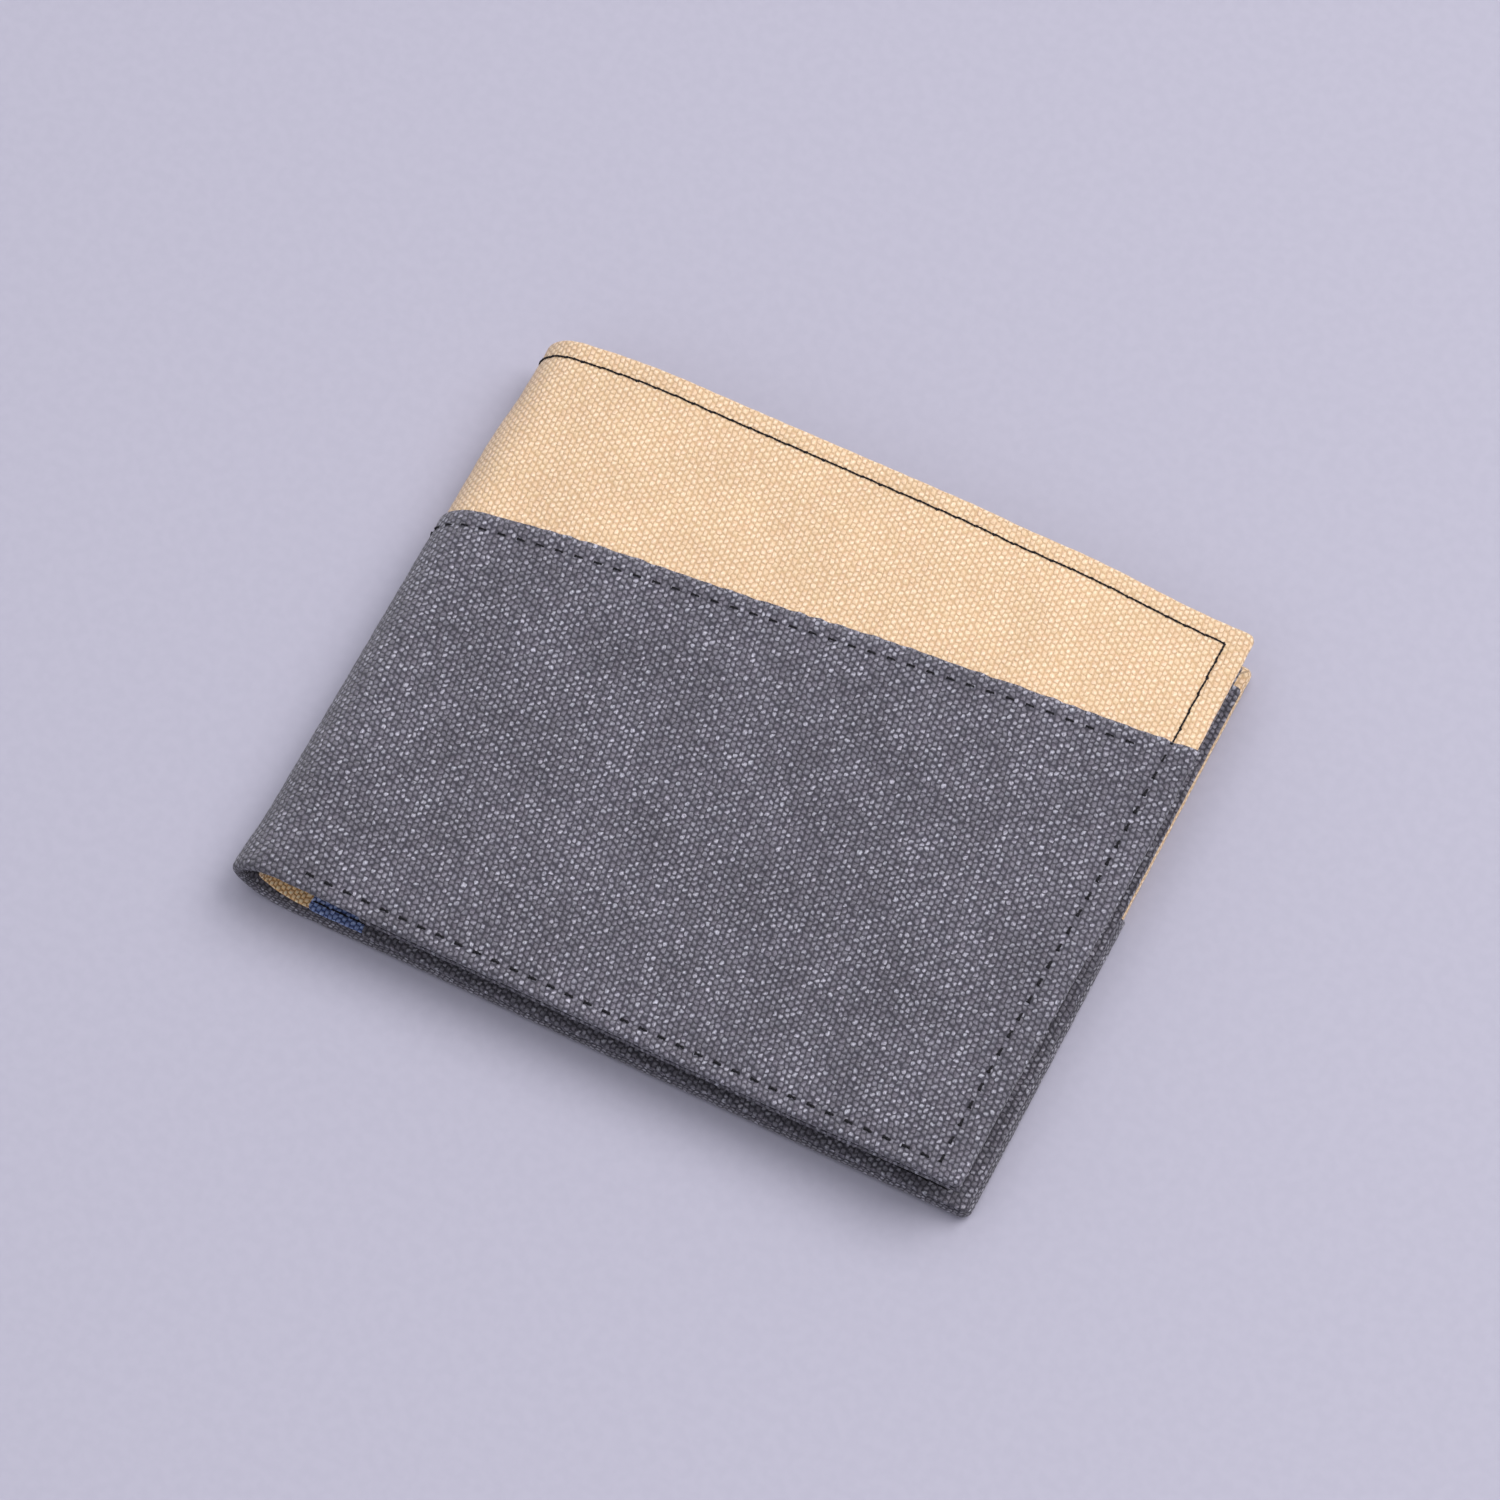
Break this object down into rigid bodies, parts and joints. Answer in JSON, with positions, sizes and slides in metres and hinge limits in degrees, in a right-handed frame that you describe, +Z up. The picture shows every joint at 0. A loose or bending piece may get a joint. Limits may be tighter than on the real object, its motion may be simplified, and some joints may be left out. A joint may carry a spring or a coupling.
{
  "type": "bifold wallet",
  "caption": "Canvas bifold wallet with a slanted two-colour cover, a note compartment, slip pockets and card slots, folding flat open along its spine.",
  "frame": {"origin": "middle of the closed wallet's footprint, on the surface it lies on", "axes": "+X from the folded spine to the open edge, +Y from the sewn bottom edge to the open top of the note compartment, +Z up"},
  "size_m": [0.115, 0.094, 0.014],
  "materials": {
    "tan_canvas": "coarse plain-weave canvas, matt",
    "charcoal_canvas": "coarse washed plain-weave canvas, matt, with pale flecks",
    "blue_canvas": "coarse plain-weave canvas, matt",
    "lining_cloth": "fine smooth lining, slight sheen",
    "black_thread": "twisted polyester thread, slight sheen"
  },
  "bodies": {
    "back_half": {"back_overlay": "charcoal_canvas", "back_shell": "tan_canvas", "back_hem": "tan_canvas", "back_lining": "lining_cloth", "back_wall": "tan_canvas", "back_slip_panel": "blue_canvas", "back_card_base": "charcoal_canvas", "back_upper_pocket": "charcoal_canvas", "back_lower_pocket": "charcoal_canvas", "back_stitching": "black_thread"},
    "spine": {"spine_shell": "tan_canvas", "spine_overlay": "charcoal_canvas", "spine_lining": "lining_cloth", "spine_wall": "tan_canvas", "spine_stitching": "black_thread"},
    "front_half": {"front_overlay": "charcoal_canvas", "front_shell": "tan_canvas", "front_hem": "tan_canvas", "front_lining": "lining_cloth", "front_wall": "tan_canvas", "front_slip_panel": "blue_canvas", "front_card_base": "charcoal_canvas", "front_upper_pocket": "charcoal_canvas", "front_lower_pocket": "charcoal_canvas", "front_stitching": "black_thread"}
  },
  "joints": [
    {"name": "spine_fold", "type": "hinge", "parent": "back_half", "child": "spine", "pos_m": [-0.05563, 0, 0.00187], "axis": [0, -1, 0], "range_deg": [0, 90]},
    {"name": "front_fold", "type": "hinge", "parent": "spine", "child": "front_half", "pos_m": [-0.05563, 0, 0.01213], "axis": [0, -1, 0], "range_deg": [0, 90]}
  ],
  "couplings": [
    {"joint": "spine_fold", "follows": "front_fold", "ratio": 1}
  ]
}
